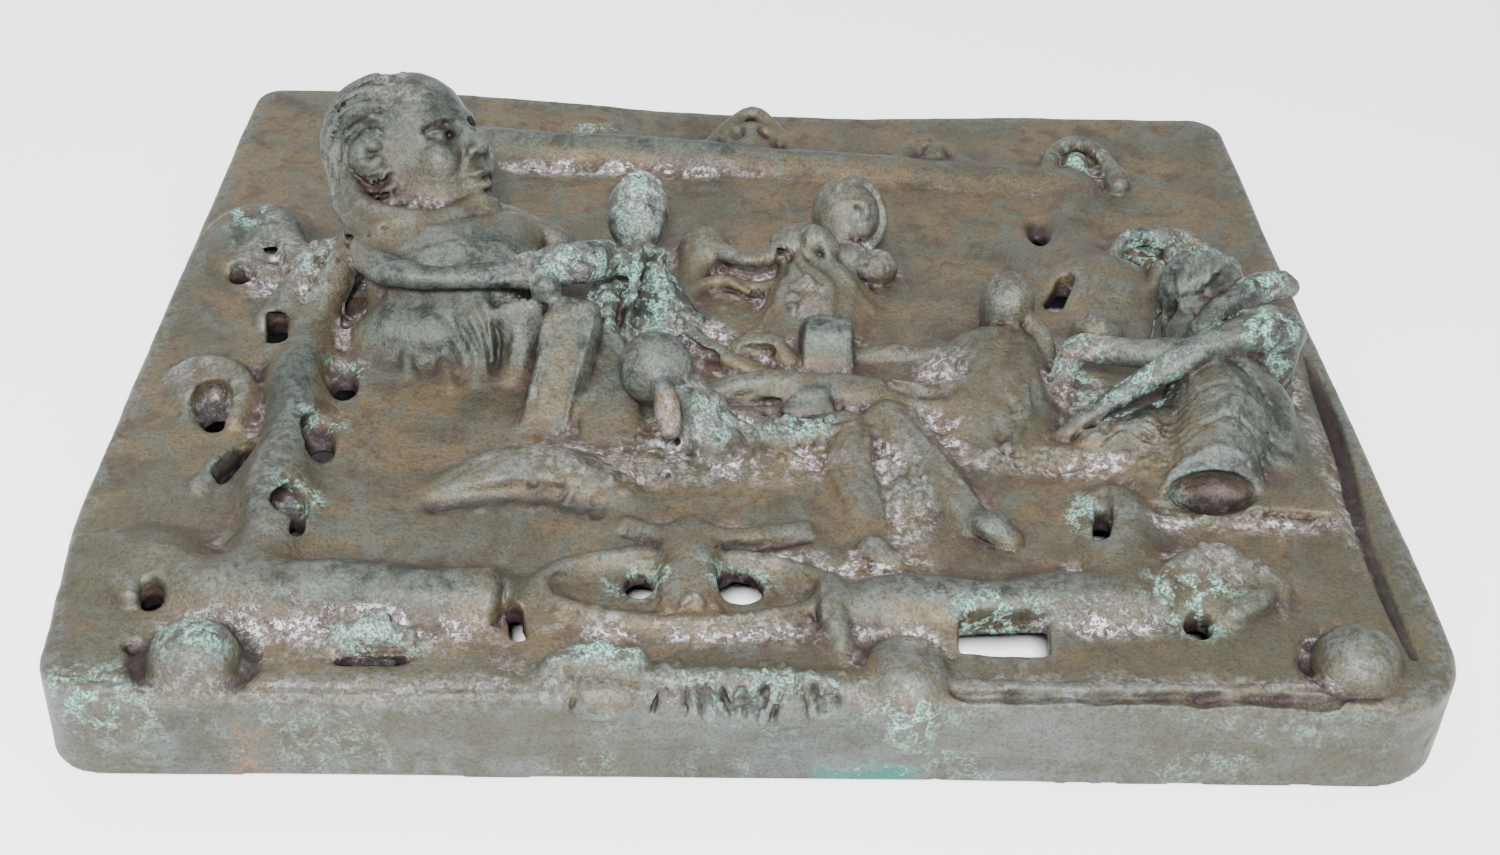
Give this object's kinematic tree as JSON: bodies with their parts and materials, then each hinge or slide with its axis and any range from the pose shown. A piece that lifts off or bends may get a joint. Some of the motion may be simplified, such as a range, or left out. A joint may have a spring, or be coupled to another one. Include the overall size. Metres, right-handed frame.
{
  "type": "sculpted relief plaque",
  "caption": "Hand-modelled cast bronze relief with a hollow back, a deep rim, a frame of rolled coils, small crude figures round a large head, and pierced holes.",
  "frame": {"origin": "middle of the upper rim's back face, where the relief rests on a wall", "axes": "+X to the right as seen from the front, +Y towards the upper edge, +Z out of the front"},
  "size_m": [0.5119, 0.4393, 0.1178],
  "materials": {
    "weathered_bronze": "brown-ochre cast bronze with a grey-green film, pale lilac crust in the hollows, turquoise verdigris and small bare copper spots"
  },
  "bodies": {
    "root": {"bronze_relief": "weathered_bronze"}
  },
  "joints": []
}
